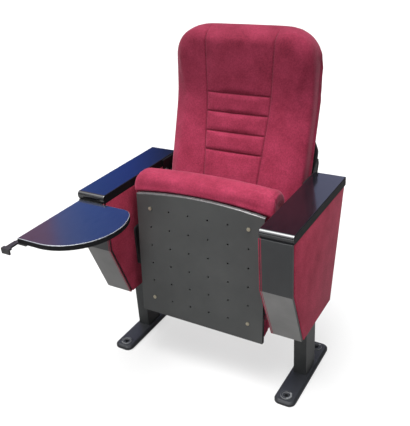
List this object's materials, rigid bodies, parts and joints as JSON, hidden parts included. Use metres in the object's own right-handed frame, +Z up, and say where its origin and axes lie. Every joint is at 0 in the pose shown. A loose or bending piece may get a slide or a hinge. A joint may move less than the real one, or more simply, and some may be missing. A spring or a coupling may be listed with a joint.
{
  "type": "conference chair",
  "caption": "Floor-mounted conference chair with a padded back, tip-up padded seat, boxed arms with flat armrests and a folding writing tablet.",
  "frame": {"origin": "on the floor, at the centre of the rectangle of floor holes in the feet", "axes": "+Z up, the chair faces -Y, +X towards the viewer's right when looking at its front"},
  "size_m": [0.691, 0.7913, 0.993],
  "materials": {
    "red_fabric": "short-pile crimson velvet",
    "black_laminate": "satin charcoal",
    "gloss_black": "polished black",
    "cast_foot": "painted dark grey",
    "painted_steel": "dark grey powder coat",
    "plywood": "raw plywood",
    "stained_plywood": "black stained plywood",
    "nylon": "natural nylon",
    "rubber": "matte black rubber",
    "bright_steel": "zinc plated"
  },
  "bodies": {
    "stand": {"left_outer_panel": "red_fabric", "left_inner_panel": "red_fabric", "left_fascia": "black_laminate", "left_rear_cover": "black_laminate", "left_bottom_cover": "black_laminate", "left_armrest": "gloss_black", "left_foot": "cast_foot", "left_post": "painted_steel", "left_arm_carrier": "painted_steel", "left_seat_bracket": "painted_steel", "left_back_bracket": "painted_steel", "left_back_anchor": "painted_steel", "left_ribs": "plywood", "left_seat_bush": "nylon", "left_return_spring": "bright_steel", "right_outer_panel": "red_fabric", "right_inner_panel": "red_fabric", "right_fascia": "black_laminate", "right_rear_cover": "black_laminate", "right_bottom_cover": "black_laminate", "right_armrest": "gloss_black", "right_foot": "cast_foot", "right_post": "painted_steel", "right_arm_carrier": "painted_steel", "right_seat_bracket": "painted_steel", "right_back_bracket": "painted_steel", "right_back_anchor": "painted_steel", "right_ribs": "plywood", "right_seat_bush": "nylon", "right_return_spring": "bright_steel", "back_cushion": "red_fabric", "back_shell": "black_laminate", "tablet_hinge_block": "painted_steel", "tablet_friction_washer": "nylon", "seat_buffers": "rubber", "armrest_screws": "bright_steel", "seat_bracket_bolts": "bright_steel", "seat_bracket_spacers": "bright_steel", "back_bolts": "bright_steel", "back_spacers": "bright_steel", "back_shell_screws": "bright_steel", "hinge_block_screws": "bright_steel", "tablet_hinge_pin": "bright_steel", "tablet_hinge_nut": "bright_steel"},
    "seat": {"seat_panel": "black_laminate", "seat_panel_screws": "bright_steel", "seat_board": "stained_plywood", "seat_frame": "painted_steel", "seat_cushion": "red_fabric", "left_hinge_plate": "painted_steel", "left_pivot_pin": "bright_steel", "right_hinge_plate": "painted_steel", "right_pivot_pin": "bright_steel"},
    "tablet": {"tablet_board": "gloss_black", "tablet_arm": "painted_steel", "tablet_screws": "bright_steel"}
  },
  "joints": [
    {"name": "seat_tip", "type": "hinge", "parent": "stand", "child": "seat", "pos_m": [0, -0.01, 0.366], "axis": [1, 0, 0], "range_deg": [0, 88], "stiffness_Nm_per_rad": 4, "springref_deg": -85.94},
    {"name": "tablet_fold", "type": "hinge", "parent": "stand", "child": "tablet", "pos_m": [-0.33, -0.206, 0.53], "axis": [0.7071, 0, -0.7071], "range_deg": [0, 180]}
  ]
}
